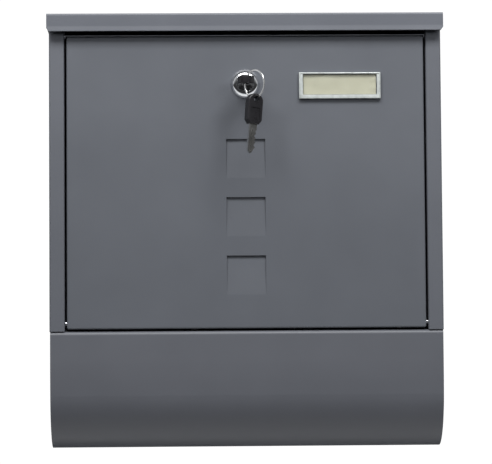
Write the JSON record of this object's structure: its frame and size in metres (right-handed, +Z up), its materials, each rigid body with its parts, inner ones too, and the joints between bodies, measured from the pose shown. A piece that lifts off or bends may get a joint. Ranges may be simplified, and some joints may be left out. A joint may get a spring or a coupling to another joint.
{
  "type": "wall mailbox",
  "caption": "Wall mailbox of folded sheet steel with a hinged lid over the letter opening, a locking drop-down door, a name plate and an open newspaper roll below.",
  "frame": {"origin": "middle of the four wall holes, on the wall plane at the back of the case", "axes": "+Z up, the wall side faces +Y, the door faces -Y, +X to the right when looking at the door"},
  "size_m": [0.3082, 0.1366, 0.3352],
  "materials": {
    "powder_coat": "fine semi-gloss powder coat, anthracite grey",
    "lock_chrome": "polished",
    "zinc_steel": "bright zinc plate",
    "key_steel": "nickel plated, rolled",
    "black_plastic": "moulded, satin",
    "clear_plastic": "clear, polished",
    "card": "uncoated cream card"
  },
  "bodies": {
    "case": {"body_shell": "powder_coat", "body_floor": "powder_coat", "top_rail": "powder_coat", "newspaper_holder": "powder_coat", "holder_rivets": "zinc_steel", "lid_hinge_pins": "zinc_steel", "lid_pin_clips": "zinc_steel", "door_hinge_pins": "zinc_steel", "door_pin_clips": "zinc_steel"},
    "lid": {"lid": "powder_coat"},
    "door": {"door": "powder_coat", "lock_body": "lock_chrome", "lock_washer": "zinc_steel", "lock_nut": "zinc_steel", "nameplate_cover": "clear_plastic", "nameplate_clips": "zinc_steel"},
    "lock_plug": {"lock_plug": "lock_chrome", "lock_cam": "zinc_steel", "cam_washer": "zinc_steel", "cam_bolt": "zinc_steel"},
    "key": {"key_head": "black_plastic", "key_blade": "key_steel"},
    "key_ring": {"key_ring": "zinc_steel"},
    "spare_key": {"spare_key_head": "black_plastic", "spare_key_blade": "key_steel"},
    "name_card": {"name_card": "card"}
  },
  "joints": [
    {"name": "lid_hinge", "type": "hinge", "parent": "case", "child": "lid", "pos_m": [0, -0.0105, 0.127], "axis": [-1, 0, 0], "range_deg": [0, 80]},
    {"name": "door_hinge", "type": "hinge", "parent": "case", "child": "door", "pos_m": [0, -0.0905, -0.1045], "axis": [1, 0, 0], "range_deg": [0, 100]},
    {"name": "lock_turn", "type": "hinge", "parent": "door", "child": "lock_plug", "pos_m": [0, -0.09, 0.0798], "axis": [0, -1, 0], "range_deg": [0, 90]},
    {"name": "key_slide", "type": "slide", "parent": "lock_plug", "child": "key", "axis": [0, -1, 0], "range_m": [0, 0.026]},
    {"name": "ring_swing", "type": "hinge", "parent": "key", "child": "key_ring", "pos_m": [0, -0.1211, 0.0798], "axis": [0, 0, 1], "range_deg": [-90, 60]},
    {"name": "spare_key_swing", "type": "hinge", "parent": "key_ring", "child": "spare_key", "pos_m": [0.0062, -0.12799, 0.064], "axis": [0.5, -0.866, 0], "range_deg": [-25, 25]},
    {"name": "card_slide", "type": "slide", "parent": "door", "child": "name_card", "axis": [1, 0, 0], "range_m": [0, 0.06]}
  ]
}
